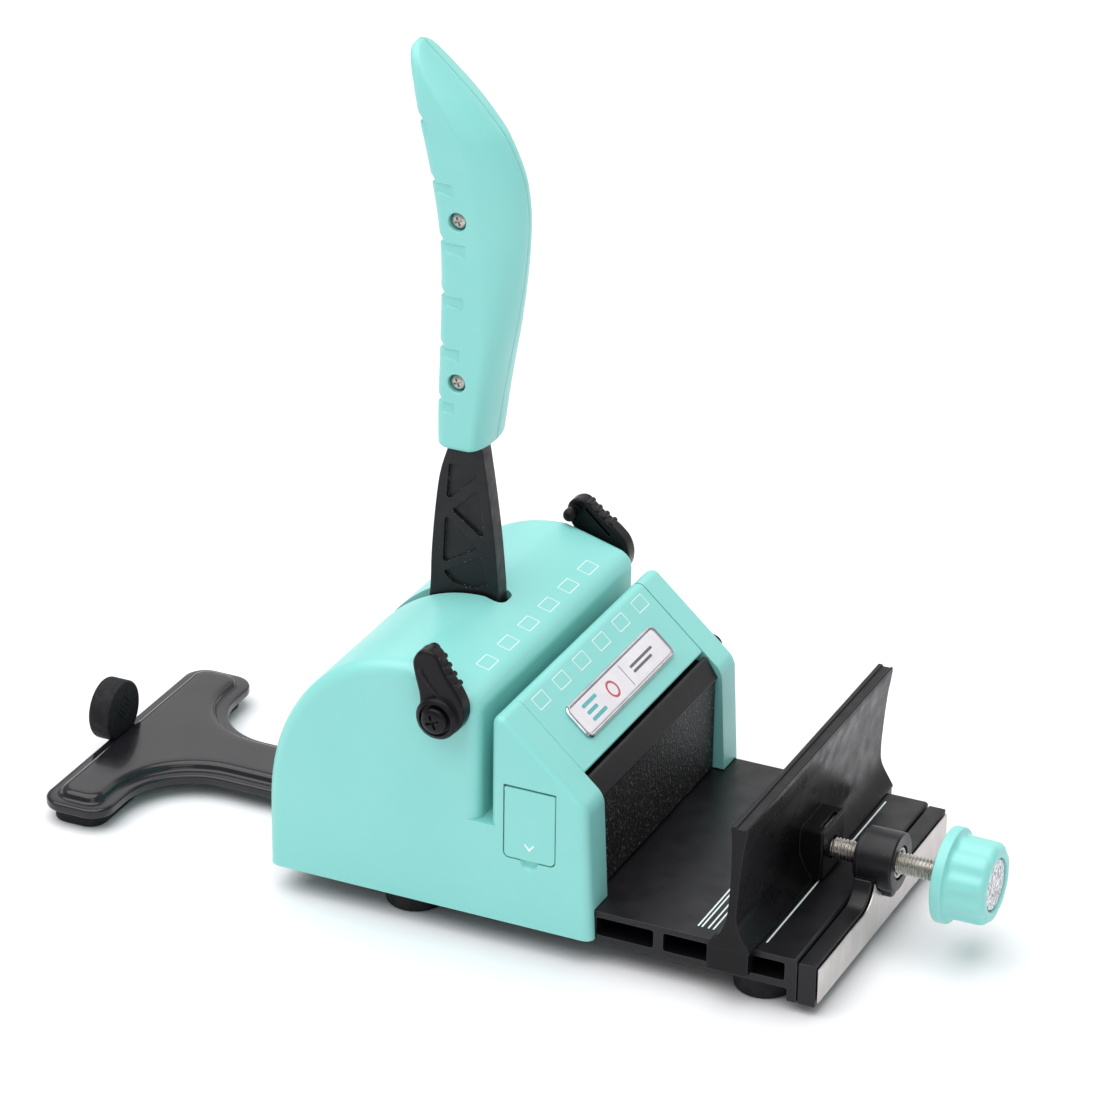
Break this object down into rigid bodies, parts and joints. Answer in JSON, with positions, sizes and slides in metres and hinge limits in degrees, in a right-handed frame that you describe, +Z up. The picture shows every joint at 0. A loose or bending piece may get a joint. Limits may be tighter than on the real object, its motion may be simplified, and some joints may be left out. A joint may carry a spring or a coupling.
{
  "type": "tabletop punch and wire binding press",
  "caption": "Tabletop hand press: an upright lever drives punch pins across a paper slot and slides a jaw towards an adjustable fence that closes wire binding.",
  "frame": {"origin": "on the ground, at the middle of the machine's length and width", "axes": "+X along the machine to the adjusting knob, +Y across the deck, +Z up"},
  "size_m": [0.27, 0.118, 0.231],
  "materials": {
    "mint_plastic": "satin moulded",
    "black_anodised": "black anodised",
    "black_lacquer": "gloss black",
    "black_plastic": "semi-gloss black",
    "black_cast": "black coated casting",
    "black_grain": "grained black coating",
    "rubber": "matt",
    "steel": "ground",
    "zinc": "zinc plated",
    "brushed_strip": "brushed",
    "silver_trim": "bright"
  },
  "bodies": {
    "root": {"base_deck": "black_anodised", "end_plate": "black_anodised", "end_strip": "brushed_strip", "thread_insert": "zinc", "foot_front_left": "rubber", "foot_front_right": "rubber", "foot_rear_left": "rubber", "foot_rear_right": "rubber", "stabiliser_arm": "black_lacquer", "stabiliser_pad": "rubber", "rest_knob": "rubber", "arm_screw_left": "zinc", "arm_screw_right": "zinc", "main_housing": "mint_plastic", "front_cover": "mint_plastic", "label_plate": "silver_trim", "cheek_plug": "black_plastic", "side_frame_left": "zinc", "side_frame_right": "zinc", "tie_bar": "zinc", "pivot_axle": "steel", "return_spring": "steel", "stripper_plate": "steel", "die_plate": "steel", "guide_rod_left": "steel", "guide_rod_right": "steel", "chip_tray": "black_plastic"},
    "handle": {"lever_plate": "black_cast", "grip_left": "mint_plastic", "grip_right": "mint_plastic", "grip_screw_lower": "zinc", "grip_screw_upper": "zinc", "cam_sleeve": "zinc", "punch_cam_left": "zinc", "punch_cam_right": "zinc", "jaw_cam_left": "zinc", "jaw_cam_right": "zinc"},
    "punch": {"punch_carrier": "steel", "punch_pin_1": "steel", "punch_pin_2": "steel", "punch_pin_3": "steel", "punch_pin_4": "steel", "punch_pin_5": "steel", "punch_pin_6": "steel"},
    "jaw": {"closing_jaw": "black_anodised", "jaw_face_plate": "black_grain", "jaw_link_left": "zinc", "jaw_link_right": "zinc"},
    "fence_slider": {"fence": "black_plastic", "screw_clip": "zinc"},
    "knob_screw": {"adjusting_screw": "zinc", "knob": "mint_plastic", "knob_cap": "silver_trim"},
    "left_guide": {"side_lever_left": "black_plastic", "side_lever_screw_left": "zinc"},
    "right_guide": {"side_lever_right": "black_plastic", "side_lever_screw_right": "zinc"},
    "hatch": {"hatch_door": "mint_plastic"}
  },
  "joints": [
    {"name": "handle_pivot", "type": "hinge", "parent": "root", "child": "handle", "pos_m": [-0.026, 0, 0.04], "axis": [0, -1, 0], "range_deg": [0, 95], "stiffness_Nm_per_rad": 0.3, "springref_deg": -28.65},
    {"name": "punch_slide", "type": "slide", "parent": "root", "child": "punch", "axis": [1, 0, 0], "range_m": [0, 0.0116]},
    {"name": "jaw_slide", "type": "slide", "parent": "root", "child": "jaw", "axis": [1, 0, 0], "range_m": [0, 0.0201]},
    {"name": "fence_slide", "type": "slide", "parent": "root", "child": "fence_slider", "axis": [1, 0, 0], "range_m": [-0.009, 0.0075]},
    {"name": "knob_spin", "type": "hinge", "parent": "fence_slider", "child": "knob_screw", "pos_m": [0.1206, 0, 0.0234], "axis": [1, 0, 0], "range_deg": [-3250, 2710]},
    {"name": "left_guide_pivot", "type": "hinge", "parent": "root", "child": "left_guide", "pos_m": [-0.0015, 0.0502, 0.0674], "axis": [0, 1, 0], "range_deg": [0, 82]},
    {"name": "right_guide_pivot", "type": "hinge", "parent": "root", "child": "right_guide", "pos_m": [-0.0015, -0.0502, 0.0674], "axis": [0, 1, 0], "range_deg": [0, 60]},
    {"name": "hatch_hinge", "type": "hinge", "parent": "root", "child": "hatch", "pos_m": [0.02265, -0.049, 0.0476], "axis": [-1, 0, 0], "range_deg": [0, 100]}
  ],
  "couplings": [
    {"joint": "punch_slide", "follows": "handle_pivot", "m_per_rad": 0.0069358},
    {"joint": "jaw_slide", "follows": "handle_pivot", "m_per_rad": 0.012062},
    {"joint": "knob_spin", "follows": "fence_slide", "rad_per_m": 6283.2}
  ]
}
